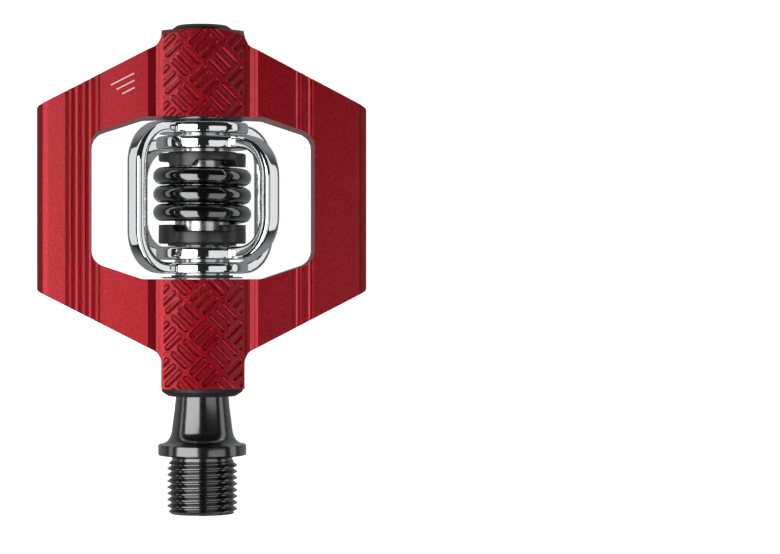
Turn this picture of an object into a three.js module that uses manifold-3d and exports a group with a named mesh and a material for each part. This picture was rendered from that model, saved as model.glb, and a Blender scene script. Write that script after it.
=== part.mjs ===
// Clipless bicycle pedal with a platform body and a four-arm sprung cage.
//
// Millimetres. The spindle lies along Y and its thread points to -Y, the platform lies in XY and
// +Z is one of its two alike sides. The origin is on the spindle axis, on the face of the spindle's
// flange that seats against the crank.

import * as THREE from "three";
import { mergeVertices } from "three/addons/utils/BufferGeometryUtils.js";
import Module from "manifold-3d";

const wasm = await Module();
wasm.setup();

// Spindle
const threadMajorR = 14.29 / 2;
const threadRootR = 6.33;
const threadPitch = 25.4 / 20;
const threadTipY = -11.9;
const threadRunoutY = -1.1;
const flangeR = 9.0;
const flangeThick = 2.3;
const seatingR = 7.25;
const taperStartR = 6.2;
const journalR = 5.4;
const journalStartY = 11.8;
const journalEndY = 25.4;
const shaftR = 3.9;
const bearingSeatR = 3.0;
const spindleEndY = 84.35;
const hexKeyAcross = 8.0;
const hexKeyDepth = 9.0;

// Body
const bodyLowY = 13.8;
const bodyHighY = 86.35;
const bodyHalfWidth = 33.36;
const sideLowY = 33.6;
const sideHighY = 70.8;
const barrelHalfWidth = 8.33;
const neckHighY = 83.6;
const barrelHalfHeight = 9.5;
const valleyZ = 6.8;
const flatInnerX = 11.05;
const flatInnerZ = 7.87;
const flatOuterX = 30.9;
const flatOuterZ = 5.75;
const bevelX = 32.15;
const bevelZ = 5.2;
const sideHalfHeight = 3.4;
const grooveHalfWidth = 0.7;
const grooveDepth = 0.5;
const leftGrooves = [25.7, 23.0, 20.7];
const rightGrooves = [18.75, 21.25];
const windowLowY = 35.95;
const windowHighY = 68.7;
const windowHalfWidth = 22.6;

// Bores through the body
const bushBoreR = 6.75;
const sleeveBoreR = 5.75;
const bearingBoreR = 6.6;
const bushBoreEndY = 27.6;
const bearingBoreStartY = 75.7;

// Cage
const cageCentreY = 52.3;
const cageHalfWidth = 19.9;
const outerCageHalfLength = 15.25;
const innerCageHalfLength = 12.5;
const outerBarThick = 2.3;
const innerBarThick = 2.65;
const stripWidth = 3.75;
const armThick = 2.65;
const hubR = 9.4;
const hubBoreR = 5.85;
const restAngle = Math.PI / 4;

// Core
const sleeveR = 5.55;
const sleeveInnerR = 4.4;
const sleeveLowY = 28.2;
const sleeveHighY = 75.3;
const seatR = 8.9;
const seatBoreR = 5.75;
const seatBossR = 7.0;
const wireR = 1.78;
const coilR = 8.25;
const coilPitch = 3.72;
const firstCoilY = 49.4;
const wireEndAngle = 128;
const levelSlope = 0.2;
const stepStart = 0.28;

// Outboard bearing, 6 x 13 x 5
const bearingLowY = 76.0;
const bearingWidth = 5.0;
const bearingOuterR = 6.5;
const ballCount = 7;
const ballR = 1.19;
const ballPitchR = 4.75;
const raceR = 1.3;

const roundSegments = 32;

function finish(name, colour, roughness, metalness) {
  return new THREE.MeshStandardMaterial({ name, color: colour, roughness, metalness });
}

const redAnodised = finish("red_anodised", 0xa3182a, 0.42, 0.75);
const blackSteel = finish("black_steel", 0x16171a, 0.35, 0.7);
const springBlack = finish("black_spring", 0x0b0b0d, 0.15, 0.4);
const chrome = finish("chromed_steel", 0xd9dadb, 0.08, 1.0);
const steel = finish("ground_steel", 0xb6b8bb, 0.3, 1.0);
const bearingSteel = finish("bearing_steel", 0xc4c6c9, 0.18, 1.0);
const blackPlastic = finish("black_plastic", 0x1b1b1d, 0.55, 0.0);
const rubber = finish("black_rubber", 0x121212, 0.75, 0.0);
const bushPlastic = finish("bush_plastic", 0x3a3a34, 0.6, 0.0);
const cagePlastic = finish("cage_plastic", 0x8b7a4b, 0.55, 0.0);

// One closed, outward-facing mesh with only positions: shared corners merged, slivers dropped.
function closed(geometry) {
  const bare = geometry.clone();
  bare.deleteAttribute("normal");
  bare.deleteAttribute("uv");
  const merged = mergeVertices(bare, 1e-3);
  const corners = merged.index.array;
  const kept = [];
  const a = new THREE.Vector3();
  const b = new THREE.Vector3();
  const c = new THREE.Vector3();
  let volume = 0;
  for (let i = 0; i < corners.length; i += 3) {
    const [p, q, r] = corners.slice(i, i + 3);
    if (p !== q && q !== r && r !== p) {
      kept.push(p, q, r);
      a.fromBufferAttribute(merged.attributes.position, p);
      b.fromBufferAttribute(merged.attributes.position, q);
      c.fromBufferAttribute(merged.attributes.position, r);
      volume += a.dot(b.cross(c));
    }
  }
  merged.setIndex(volume > 0 ? kept : kept.reverse());
  return merged;
}

function solid(geometry) {
  const mesh = closed(geometry);
  return new wasm.Manifold(new wasm.Mesh({
    numProp: 3,
    vertProperties: new Float32Array(mesh.attributes.position.array),
    triVerts: new Uint32Array(mesh.index.array),
  }));
}

function geometryOf(manifold) {
  const mesh = manifold.getMesh();
  const geometry = new THREE.BufferGeometry();
  geometry.setAttribute("position", new THREE.BufferAttribute(mesh.vertProperties, 3));
  geometry.setIndex(new THREE.BufferAttribute(mesh.triVerts, 1));
  return geometry;
}

// A profile of [radius, y] points turned about the spindle axis.
function turned(profile, segments = roundSegments) {
  return new THREE.LatheGeometry(profile.map(([r, y]) => new THREE.Vector2(r, y)), segments);
}

// A ring of rectangular section, or with inner radius 0 a disc.
function ring(innerR, outerR, lowY, highY) {
  const section = [[innerR, lowY], [outerR, lowY], [outerR, highY], [innerR, highY]];
  return turned(innerR > 0 ? [...section, section[0]] : section);
}

// A flat outline in XY, extruded from lowZ to highZ.
function plate(shape, lowZ, highZ, curveSegments = 4) {
  const geometry = new THREE.ExtrudeGeometry(shape, {
    depth: highZ - lowZ, bevelEnabled: false, curveSegments,
  });
  return geometry.translate(0, 0, lowZ);
}

// A section drawn in XZ, extruded along the spindle from lowY to highY.
function bar(shape, lowY, highY) {
  const geometry = plate(shape, 0, highY - lowY);
  return geometry.rotateX(Math.PI / 2).translate(0, highY, 0);
}

// A closed outline through corner points, each corner rounded to its own radius.
function roundedOutline(corners, Outline = THREE.Shape) {
  const outline = new Outline();
  const count = corners.length;
  const ends = corners.map(([x, y, radius], i) => {
    const corner = new THREE.Vector2(x, y);
    const before = new THREE.Vector2(...corners[(i + count - 1) % count].slice(0, 2));
    const after = new THREE.Vector2(...corners[(i + 1) % count].slice(0, 2));
    const toBefore = before.sub(corner).normalize();
    const toAfter = after.sub(corner).normalize();
    const halfAngle = Math.acos(toBefore.dot(toAfter)) / 2;
    const reach = radius / Math.tan(halfAngle);
    return {
      corner,
      start: corner.clone().addScaledVector(toBefore, reach),
      end: corner.clone().addScaledVector(toAfter, reach),
    };
  });
  ends.forEach(({ corner, start, end }, i) => {
    if (i === 0) outline.moveTo(start.x, start.y);
    else outline.lineTo(start.x, start.y);
    outline.quadraticCurveTo(corner.x, corner.y, end.x, end.y);
  });
  outline.closePath();
  return outline;
}

function regularPrism(acrossFlats, sides, lowY, highY) {
  const outline = new THREE.Shape();
  for (let i = 0; i < sides; i++) {
    const angle = (2 * Math.PI * i) / sides;
    const radius = acrossFlats / 2 / Math.cos(Math.PI / sides);
    const point = [radius * Math.cos(angle), radius * Math.sin(angle)];
    if (i === 0) outline.moveTo(...point);
    else outline.lineTo(...point);
  }
  return bar(outline, lowY, highY);
}

// --- Spindle: forged and turned steel, right-hand 9/16 in x 20 thread, hex key socket in its tip.

// A right-hand ridge wound round the axis, closed at both ends by fans to the axis.
function threadRidge(lowY, highY) {
  const stepsPerTurn = 20;
  const turns = Math.ceil((highY - lowY) / threadPitch);
  const positions = [];
  const rowLength = stepsPerTurn * turns + 1;
  for (const [radius, lift] of [[threadMajorR, 0], [threadRootR, threadPitch / 2]]) {
    for (let i = 0; i < rowLength; i++) {
      const angle = (2 * Math.PI * i) / stepsPerTurn;
      const y = lowY + lift + (threadPitch * i) / stepsPerTurn;
      positions.push(radius * Math.sin(angle), y, radius * Math.cos(angle));
    }
  }
  const crest = (i) => i;
  const root = (i) => rowLength + i;
  const faces = [];
  const quad = (p, q, r, s) => faces.push(p, q, r, p, r, s);
  for (let i = 0; i < rowLength - 1; i++) {
    quad(crest(i), crest(i + 1), root(i + 1), root(i));
  }
  for (let i = 0; i + stepsPerTurn < rowLength - 1; i++) {
    quad(root(i), root(i + 1), crest(i + 1 + stepsPerTurn), crest(i + stepsPerTurn));
  }
  const lowCentre = positions.length / 3;
  const highCentre = lowCentre + 1;
  positions.push(0, lowY - 1, 0, 0, highY + 3, 0);
  for (let i = 0; i < stepsPerTurn; i++) {
    faces.push(lowCentre, crest(i + 1), crest(i));
    const last = rowLength - 1 - stepsPerTurn;
    faces.push(highCentre, root(last + i), root(last + i + 1));
  }
  faces.push(lowCentre, root(0), crest(stepsPerTurn), lowCentre, crest(0), root(0));
  const last = rowLength - 1;
  faces.push(highCentre, crest(last), root(last - stepsPerTurn), highCentre, root(last), crest(last));
  const geometry = new THREE.BufferGeometry();
  geometry.setAttribute("position", new THREE.Float32BufferAttribute(positions, 3));
  geometry.setIndex(faces);
  return geometry;
}

function spindleGeometry() {
  const tipChamfer = 0.75;
  const threadEnvelope = turned([
    [0, threadTipY - 0.25],
    [5.4, threadTipY - 0.1],
    [threadMajorR - tipChamfer, threadTipY],
    [threadMajorR + 0.3, threadTipY + tipChamfer + 0.3],
    [threadMajorR + 0.3, threadRunoutY - tipChamfer - 0.3],
    [threadRootR - 0.1, threadRunoutY],
    [0, threadRunoutY],
  ]);
  const shank = turned([
    [0, threadRunoutY - 0.5],
    [threadRootR - 0.15, threadRunoutY - 0.5],
    [threadRootR - 0.15, -0.6],
    [threadRootR + 0.1, -0.25],
    [seatingR, 0],
    [flangeR - 0.25, 0],
    [flangeR, 0.25],
    [flangeR, flangeThick - 0.25],
    [flangeR - 0.3, flangeThick],
    [8.0, flangeThick + 0.2],
    [6.8, 3.4],
    [taperStartR, 4.8],
    [journalR, journalStartY],
    [journalR, journalEndY],
    [shaftR, journalEndY + 2.6],
    [shaftR, bearingLowY - 0.3],
    [bearingSeatR + 0.6, bearingLowY],
    [bearingSeatR, bearingLowY],
    [bearingSeatR, bearingLowY + bearingWidth],
    [bearingSeatR - 0.1, bearingLowY + bearingWidth + 0.1],
    [bearingSeatR - 0.1, spindleEndY - 0.4],
    [bearingSeatR - 0.5, spindleEndY],
    [0, spindleEndY],
  ]);
  const keySocket = regularPrism(hexKeyAcross, 6, threadTipY - 2, threadTipY + hexKeyDepth);
  const thread = solid(threadRidge(threadTipY - 2, threadRunoutY + 1)).intersect(solid(threadEnvelope));
  return geometryOf(thread.add(solid(shank)).subtract(solid(keySocket)));
}

// --- Body: one forging with a barrel on the spindle and a fluted wing on each side of the cage.

// Height of the upper face at a distance from the spindle.
function flatZ(x) {
  return THREE.MathUtils.mapLinear(x, flatInnerX, flatOuterX, flatInnerZ, flatOuterZ);
}

// Upper surface from the barrel's middle out to the rim, as [distance, height] points.
function halfSection(grooves) {
  const points = [
    [0, barrelHalfHeight],
    [barrelHalfWidth - 0.4, barrelHalfHeight - 0.45],
    [barrelHalfWidth + 0.6, barrelHalfHeight - 1.1],
    [barrelHalfWidth + 0.65, valleyZ + 0.15],
    [barrelHalfWidth + 1.1, valleyZ],
    [flatInnerX, flatInnerZ],
  ];
  for (const middle of [...grooves].sort((p, q) => p - q)) {
    points.push([middle - grooveHalfWidth, flatZ(middle - grooveHalfWidth)]);
    points.push([middle - grooveHalfWidth / 2, flatZ(middle) - grooveDepth]);
    points.push([middle + grooveHalfWidth / 2, flatZ(middle) - grooveDepth]);
    points.push([middle + grooveHalfWidth, flatZ(middle + grooveHalfWidth)]);
  }
  points.push([flatOuterX, flatOuterZ], [bevelX, bevelZ], [bodyHalfWidth, sideHalfHeight]);
  return points;
}

// The whole section: the lower face is the upper one turned half a turn about the spindle.
function bodySection() {
  const right = halfSection(rightGrooves);
  const left = halfSection(leftGrooves).map(([x, z]) => [-x, z]);
  const upper = [...left.reverse(), ...right.slice(1)];
  const lower = upper.map(([x, z]) => [-x, -z]);
  const section = new THREE.Shape();
  [...upper, ...lower].forEach(([x, z], i) => (i === 0 ? section.moveTo(x, z) : section.lineTo(x, z)));
  section.closePath();
  return section;
}

// Mirrors an upper-right run of [x, y, radius] corners to the other three quarters.
function fourfold(quarter, middleY) {
  const flipped = quarter.map(([x, y, r]) => [x, 2 * middleY - y, r]).reverse();
  const right = [...quarter, ...flipped];
  const left = right.map(([x, y, r]) => [-x, y, r]).reverse();
  return [...right, ...left];
}

function pedalBodyGeometry() {
  const middleY = (sideLowY + sideHighY) / 2;
  const shoulder = [
    [barrelHalfWidth, bodyHighY + 5, 0.2],
    [barrelHalfWidth, neckHighY, 3.1],
    [bodyHalfWidth, sideHighY, 0.8],
  ];
  const planOutline = roundedOutline(fourfold(shoulder, middleY));
  const planWindow = roundedOutline(fourfold([
    [12.2, windowHighY, 4],
    [windowHalfWidth, 65.2, 3.4],
  ], (windowLowY + windowHighY) / 2));
  const barrelEnds = turned([
    [0, bodyLowY],
    [11.9, bodyLowY],
    [14, bodyLowY + 1.0],
    [60, bodyLowY + 1.0],
    [60, bodyHighY - 2.6],
    [14, bodyHighY - 2.6],
    [9.4, bodyHighY],
    [0, bodyHighY],
  ], 48);
  const bore = turned([
    [0, bodyLowY - 1],
    [bushBoreR, bodyLowY - 1],
    [bushBoreR, bushBoreEndY],
    [sleeveBoreR, bushBoreEndY],
    [sleeveBoreR, bearingBoreStartY],
    [bearingBoreR, bearingBoreStartY],
    [bearingBoreR, bodyHighY + 1],
    [0, bodyHighY + 1],
  ]);
  const blank = solid(bar(bodySection(), bodyLowY, bodyHighY))
    .intersect(solid(plate(planOutline, -20, 20)))
    .intersect(solid(barrelEnds));
  return geometryOf(blank.subtract(solid(plate(planWindow, -20, 20))).subtract(solid(bore)));
}

// --- Cage wings: bent and welded steel loops, each with two hub rings that turn on the sleeve.

function wingGeometry(halfLength, barThick) {
  const cornerR = 8.5;
  const outline = roundedOutline([
    [cageHalfWidth, halfLength, cornerR],
    [-cageHalfWidth, halfLength, cornerR],
    [-cageHalfWidth, -halfLength, cornerR],
    [cageHalfWidth, -halfLength, cornerR],
  ]);
  const innerX = cageHalfWidth - armThick;
  const innerY = halfLength - barThick;
  outline.holes.push(roundedOutline([
    [innerX, innerY, cornerR - armThick],
    [innerX, -innerY, cornerR - armThick],
    [-innerX, -innerY, cornerR - armThick],
    [-innerX, innerY, cornerR - armThick],
  ], THREE.Path));
  let wing = solid(plate(outline, -stripWidth / 2, stripWidth / 2));
  for (const [low, high] of [[-halfLength, -innerY], [innerY, halfLength]]) {
    wing = wing.add(solid(ring(0, hubR, low, high)));
    wing = wing.subtract(solid(ring(0, hubBoreR, low - 1, high + 1)));
  }
  return geometryOf(wing);
}

// --- Spring and its seats.

// A close wound coil: each turn lies almost level and steps down to the next one at the back.
class LevelCoil extends THREE.Curve {
  constructor(radius, pitch, middleY, endAngle) {
    super();
    Object.assign(this, { radius, pitch, middleY, endAngle });
  }

  getPoint(t, target = new THREE.Vector3()) {
    const angle = THREE.MathUtils.lerp(-this.endAngle, this.endAngle, t);
    const turn = Math.round(angle / (2 * Math.PI));
    const along = angle / (2 * Math.PI) - turn;
    const share = Math.sign(along) * THREE.MathUtils.smootherstep(Math.abs(along), stepStart, 0.5) / 2;
    const drop = turn + THREE.MathUtils.lerp(share, along, levelSlope);
    return target.set(
      this.radius * Math.sin(angle),
      this.middleY - this.pitch * drop,
      this.radius * Math.cos(angle),
    );
  }
}

function springGeometry() {
  const endAngle = 2 * Math.PI + THREE.MathUtils.degToRad(wireEndAngle);
  const steps = Math.round(endAngle * 4.2);
  const path = new LevelCoil(coilR, coilPitch, firstCoilY + coilPitch, endAngle);
  const wire = new THREE.Shape();
  wire.absarc(0, 0, wireR, 0, 2 * Math.PI);
  return new THREE.ExtrudeGeometry(wire, { steps, extrudePath: path, curveSegments: 4 });
}

// A sector of a ring between two angles, measured from +Z towards +X.
function sector(innerR, outerR, lowY, highY, fromAngle, toAngle) {
  const outline = new THREE.Shape();
  const place = (radius, angle) => [radius * Math.sin(angle), radius * Math.cos(angle)];
  const steps = 8;
  for (let i = 0; i <= steps; i++) {
    const point = place(outerR, THREE.MathUtils.lerp(fromAngle, toAngle, i / steps));
    if (i === 0) outline.moveTo(...point);
    else outline.lineTo(...point);
  }
  for (let i = steps; i >= 0; i--) {
    outline.lineTo(...place(innerR, THREE.MathUtils.lerp(fromAngle, toAngle, i / steps)));
  }
  outline.closePath();
  return bar(outline, lowY, highY);
}

// A seat is a flanged ring with a thin boss against the cage. Each lug is [from, to, reach]: two
// angles and the height of the face that it turns to the spring.
function springSeatGeometry({ lowY, highY, bossLowY, bossHighY, lugs }) {
  let seat = solid(ring(0, seatR, lowY, highY)).add(solid(ring(0, seatBossR, bossLowY, bossHighY)));
  for (const [from, to, reach] of lugs) {
    const [low, high] = reach > highY ? [highY - 0.5, reach] : [reach, lowY + 0.5];
    const angles = [from, to].map(THREE.MathUtils.degToRad);
    seat = seat.add(solid(sector(sleeveR, seatR - 0.05, low, high, ...angles)));
  }
  return geometryOf(seat.subtract(solid(ring(0, seatBoreR, lowY - 5, highY + 5))));
}

// --- Outboard ball bearing.

const ballPlaneY = bearingLowY + bearingWidth / 2;

// Half-round ball track as profile points, running along +Y or -Y.
function track(side, direction) {
  const points = [];
  const steps = 4;
  for (let i = 0; i <= steps; i++) {
    const angle = THREE.MathUtils.degToRad(-55 + (110 * i) / steps);
    const y = ballPlaneY + direction * raceR * Math.sin(angle);
    points.push([ballPitchR + side * raceR * Math.cos(angle), y]);
  }
  return points;
}

function outerRaceGeometry() {
  const high = bearingLowY + bearingWidth;
  const section = [
    [bearingOuterR, bearingLowY],
    [bearingOuterR, high],
    [track(1, -1)[0][0], high],
    ...track(1, -1),
    [track(1, -1)[0][0], bearingLowY],
  ];
  return turned([...section, section[0]]);
}

function innerRaceGeometry() {
  const high = bearingLowY + bearingWidth;
  const section = [
    [bearingSeatR + 0.06, bearingLowY + 0.1],
    [track(-1, 1)[0][0], bearingLowY + 0.1],
    ...track(-1, 1),
    [track(-1, 1)[0][0], high],
    [bearingSeatR + 0.06, high],
  ];
  return turned([...section, section[0]]);
}

function ballPlaces() {
  const places = [];
  for (let i = 0; i < ballCount; i++) {
    const angle = (2 * Math.PI * i) / ballCount;
    places.push([ballPitchR * Math.sin(angle), ballPlaneY, ballPitchR * Math.cos(angle)]);
  }
  return places;
}

function ballCageGeometry() {
  let cage = solid(ring(ballPitchR - 0.4, ballPitchR + 0.4, ballPlaneY - 0.5, ballPlaneY + 1.7));
  for (const [x, y, z] of ballPlaces()) {
    cage = cage.subtract(solid(new THREE.SphereGeometry(ballR + 0.17, 10, 6).translate(x, y, z)));
  }
  return geometryOf(cage);
}

// --- Assembly

const pedal = new THREE.Group();

function addPart(name, geometry, material, parent = pedal) {
  const mesh = new THREE.Mesh(closed(geometry), material);
  mesh.name = name;
  parent.add(mesh);
  return mesh;
}

addPart("spindle", spindleGeometry(), blackSteel);
addPart("pedal_body", pedalBodyGeometry(), redAnodised);

const core = new THREE.Group();
pedal.add(core);
addPart("core_sleeve", ring(sleeveInnerR, sleeveR, sleeveLowY, sleeveHighY), steel, core);
addPart("inner_bush", ring(journalR + 0.08, bushBoreR - 0.08, 15.9, journalEndY - 0.2), bushPlastic, core);
const sealLowY = 12.1;
const sealLipY = 15.6;
addPart("inner_seal", turned([
  [journalR + 0.12, sealLowY],
  [7.0, sealLowY],
  [8.3, sealLowY + 1.0],
  [8.3, bodyLowY - 0.1],
  [bushBoreR - 0.1, bodyLowY - 0.1],
  [bushBoreR - 0.1, sealLipY],
  [journalR + 0.12, sealLipY],
  [journalR + 0.12, sealLowY],
]), rubber, core);

const bearing = new THREE.Group();
pedal.add(bearing);
addPart("bearing_outer_race", outerRaceGeometry(), bearingSteel, bearing);
addPart("bearing_inner_race", innerRaceGeometry(), bearingSteel, bearing);
addPart("bearing_ball_cage", ballCageGeometry(), cagePlastic, bearing);
const ballGeometry = new THREE.SphereGeometry(ballR, 10, 6);
ballPlaces().forEach((place, i) => {
  addPart(`bearing_ball_${i + 1}`, ballGeometry, bearingSteel, bearing).position.set(...place);
});
const shieldInnerR = 4.25;
const shieldOuterR = 5.35;
const shieldThick = 0.25;
for (const [name, lowY] of [
  ["bearing_shield_inboard", bearingLowY + 0.1],
  ["bearing_shield_outboard", bearingLowY + bearingWidth - 0.1 - shieldThick],
]) {
  addPart(name, ring(shieldInnerR, shieldOuterR, lowY, lowY + shieldThick), steel, bearing);
}

const nutLowY = bearingLowY + bearingWidth + 0.3;
const nutThick = 2.8;
addPart("lock_nut", geometryOf(
  solid(regularPrism(8.0, 6, nutLowY, nutLowY + nutThick))
    .subtract(solid(ring(0, bearingSeatR, nutLowY - 1, nutLowY + nutThick + 1))),
), steel);

// Cap: a threaded plug over the nut, with an O-ring under its head and a hex key socket on top.
const capTopY = 87.7;
const capHeadR = 6.1;
const capPlugR = 6.45;
const capCavityR = 5.0;
const ringGrooveR = 5.55;
const capLowY = 82.1;
const capCavityTopY = 84.75;
const ringLowY = 85.05;
const ringHighY = 86.05;
const capBlank = turned([
  [capCavityR, capLowY],
  [capPlugR, capLowY],
  [capPlugR, ringLowY],
  [ringGrooveR, ringLowY],
  [ringGrooveR, ringHighY],
  [capHeadR, ringHighY],
  [capHeadR, capTopY - 0.8],
  [capHeadR - 0.85, capTopY],
  [0, capTopY],
  [0, capCavityTopY],
  [capCavityR, capCavityTopY],
  [capCavityR, capLowY],
]);
const capKey = regularPrism(5.0, 6, capTopY - 1.3, capTopY + 1);
addPart("end_cap", geometryOf(solid(capBlank).subtract(solid(capKey))), blackPlastic);
const oRingR = 0.4;
addPart("end_cap_o_ring", new THREE.TorusGeometry(6.1, oRingR, 6, roundSegments)
  .rotateX(Math.PI / 2).translate(0, (ringLowY + ringHighY) / 2, 0), rubber);

// The two wings cross at the spindle, each tilted half a right angle from the platform.
const outerWing = addPart("outer_wing", wingGeometry(outerCageHalfLength, outerBarThick), chrome);
outerWing.position.y = cageCentreY;
outerWing.rotation.y = restAngle;
const innerWing = addPart("inner_wing", wingGeometry(innerCageHalfLength, innerBarThick), chrome);
innerWing.position.y = cageCentreY;
innerWing.rotation.y = -restAngle;

const washerR = 8.2;
const washerBoreR = 5.75;
addPart("inboard_wing_washer", ring(washerBoreR, washerR, windowLowY + 0.15, 36.75), blackPlastic);
addPart("outboard_wing_washer", ring(washerBoreR, washerR, 67.85, windowHighY - 0.2), blackPlastic);

addPart("inboard_spring_seat", springSeatGeometry({
  lowY: 43.2, highY: 45.7, bossLowY: 42.75, bossHighY: 44,
  lugs: [[-120, -42, 47.25], [40, 104, 47.25], [wireEndAngle + 3, 152, 49.2]],
}), blackPlastic);
addPart("outboard_spring_seat", springSeatGeometry({
  lowY: 60.0, highY: 61.55, bossLowY: 61, bossHighY: 61.85,
  lugs: [[-57, -8, 58.9], [50, 104, 58.9], [-152, -wireEndAngle - 3, 57.0]],
}), blackPlastic);
addPart("torsion_spring", springGeometry(), springBlack);

export default pedal;
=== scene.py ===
"""Clipless bicycle pedal: the finished look of each piece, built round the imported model."""

import math

import bmesh
import bpy
from mathutils import Matrix, Vector


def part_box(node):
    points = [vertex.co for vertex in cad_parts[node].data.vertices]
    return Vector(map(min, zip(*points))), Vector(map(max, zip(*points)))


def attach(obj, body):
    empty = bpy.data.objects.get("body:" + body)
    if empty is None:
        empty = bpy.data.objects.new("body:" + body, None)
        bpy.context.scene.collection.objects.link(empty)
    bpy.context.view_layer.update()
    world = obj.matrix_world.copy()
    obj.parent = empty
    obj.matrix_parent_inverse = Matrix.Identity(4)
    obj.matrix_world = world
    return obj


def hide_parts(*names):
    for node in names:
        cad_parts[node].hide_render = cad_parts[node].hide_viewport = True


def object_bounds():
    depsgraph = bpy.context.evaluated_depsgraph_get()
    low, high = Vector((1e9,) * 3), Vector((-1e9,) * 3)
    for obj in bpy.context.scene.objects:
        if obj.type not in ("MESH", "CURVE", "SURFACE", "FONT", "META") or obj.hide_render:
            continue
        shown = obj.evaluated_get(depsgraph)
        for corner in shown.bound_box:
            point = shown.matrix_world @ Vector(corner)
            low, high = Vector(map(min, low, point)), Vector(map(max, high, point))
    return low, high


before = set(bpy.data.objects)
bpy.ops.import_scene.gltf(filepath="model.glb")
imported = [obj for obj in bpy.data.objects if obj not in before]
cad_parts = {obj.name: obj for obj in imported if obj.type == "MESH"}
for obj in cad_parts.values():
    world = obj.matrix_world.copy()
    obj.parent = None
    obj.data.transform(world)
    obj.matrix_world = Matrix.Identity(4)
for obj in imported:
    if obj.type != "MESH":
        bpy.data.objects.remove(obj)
low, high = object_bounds()

# ---------------------------------------------------------------- camera
# Almost straight above the platform and a touch to its left, with the thread towards the bottom,
# and turned a few degrees sideways, so that the pedal stands left of the middle.
camera_data = bpy.data.cameras.new("camera")
camera_data.sensor_width = 36.0
camera_data.lens = 119.4
camera_data.clip_start = 0.01
camera = bpy.data.objects.new("camera", camera_data)
camera.location = (-0.011, 0.0364, 0.530)
camera.rotation_euler = (0, math.radians(-5.34), 0)
bpy.context.collection.objects.link(camera)
bpy.context.scene.camera = camera
bpy.context.scene.view_settings.view_transform = "Standard"


# ---------------------------------------------------------------- studio
# A large soft box on the left, a weaker one on the right, pale cards near the horizon and a dark
# room: chrome and gloss black then show hard-edged white and black.
LIGHT_REACH = 0.7
LIGHT_AIM = Vector((0, 0.045, 0))


def soft_box(name, start, end, radiance, half_length, aside=0.0, heading=0.0):
    """A rectangle of light over a span of angles from straight up, leaning towards a heading.

    Headings turn from +X. The box's middle lies aside from the aim, along its own length.
    """
    middle = math.radians((start + end) / 2)
    width = 2 * LIGHT_REACH * math.tan(math.radians(end - start) / 2)
    light = bpy.data.lights.new(name, "AREA")
    light.shape = "RECTANGLE"
    light.size, light.size_y = width, 2 * half_length
    light.energy = radiance * math.pi * width * 2 * half_length
    turn = Matrix.Rotation(math.radians(heading), 3, "Z")
    towards = Vector((math.sin(middle) * LIGHT_REACH, aside, math.cos(middle) * LIGHT_REACH))
    box = bpy.data.objects.new(name, light)
    box.location = LIGHT_AIM + turn @ towards
    facing = LIGHT_AIM + turn @ Vector((0, aside, 0)) - box.location
    box.rotation_euler = facing.to_track_quat("-Z", "X").to_euler()
    bpy.context.collection.objects.link(box)


soft_box("left_soft_box", -70, -13, radiance=3.1, half_length=0.80, aside=-0.60)
soft_box("left_card", -97, -85, radiance=0.85, half_length=0.55, aside=0.22)
soft_box("right_soft_box", 15, 60, radiance=0.90, half_length=0.62, aside=-0.535)
soft_box("right_card", 77, 97, radiance=0.90, half_length=0.55, aside=0.22)
soft_box("far_card", 78, 97, radiance=0.40, half_length=1.0, heading=90)

# The room is dark above the horizon and paler below it, where the white sweep would glow.
room = bpy.data.worlds.new("room")
room.use_nodes = True
walls = room.node_tree.nodes["Background"]
walls.inputs["Color"].default_value = (0.95, 0.97, 1.0, 1)
direction = room.node_tree.nodes.new("ShaderNodeTexCoord")
height = room.node_tree.nodes.new("ShaderNodeSeparateXYZ")
room.node_tree.links.new(direction.outputs["Generated"], height.inputs["Vector"])
glow = room.node_tree.nodes.new("ShaderNodeMapRange")
for socket, value in {"From Min": -0.12, "From Max": -0.45, "To Min": 0.02, "To Max": 0.26}.items():
    glow.inputs[socket].default_value = value
room.node_tree.links.new(height.outputs["Z"], glow.inputs["Value"])
room.node_tree.links.new(glow.outputs["Result"], walls.inputs["Strength"])
bpy.context.scene.world = room

# The sweep is plain white to the eye and throws no light back on to the pedal.
FLOOR_HALF = 3.0
FLOOR_GAP = 0.0002
floor_mesh = bpy.data.meshes.new("floor")
floor_z = low.z - FLOOR_GAP
floor_signs = ((-1, -1), (1, -1), (1, 1), (-1, 1))
floor_corners = [(x * FLOOR_HALF, y * FLOOR_HALF, floor_z) for x, y in floor_signs]
floor_mesh.from_pydata(floor_corners, [], [(0, 1, 2, 3)])
floor = bpy.data.objects.new("floor", floor_mesh)
floor.visible_diffuse = False
floor.visible_glossy = False
bpy.context.collection.objects.link(floor)
floor_paint = bpy.data.materials.new("white_sweep")
floor_paint.use_nodes = True
floor_shader = floor_paint.node_tree.nodes["Principled BSDF"]
floor_shader.inputs["Base Color"].default_value = (0.6, 0.6, 0.6, 1)
floor_shader.inputs["Roughness"].default_value = 0.9
floor_shader.inputs["Emission Color"].default_value = (1, 1, 1, 1)
floor_shader.inputs["Emission Strength"].default_value = 0.95
floor.data.materials.append(floor_paint)


# ---------------------------------------------------------------- pedal body
# The platform is one aluminium forging: a barrel on the spindle at each end and a fluted wing on
# each side of the cage. It is milled, bead blasted and anodised red.
MM = 0.001
BODY_LOW, BODY_HIGH = 13.8, 86.35
HALF_WIDTH = 33.36
SIDE_LOW, SIDE_HIGH = 33.6, 70.8
BARREL_HALF_WIDTH, BARREL_HALF_HEIGHT, NECK_HIGH = 8.33, 9.5, 83.6
CROWN_EDGE_X, CROWN_DROP = 7.8, 0.66
FLAT_INNER_X, FLAT_INNER_Z = 11.05, 7.87
FLAT_OUTER_X, FLAT_OUTER_Z = 30.9, 5.75
WINDOW_LOW, WINDOW_HIGH, WINDOW_HALF_WIDTH = 35.95, 68.7, 22.6
BUSH_BORE, SLEEVE_BORE, BEARING_BORE = 6.75, 5.75, 6.6
BUSH_SHOULDER, BEARING_SHOULDER = 27.6, 75.7
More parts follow.
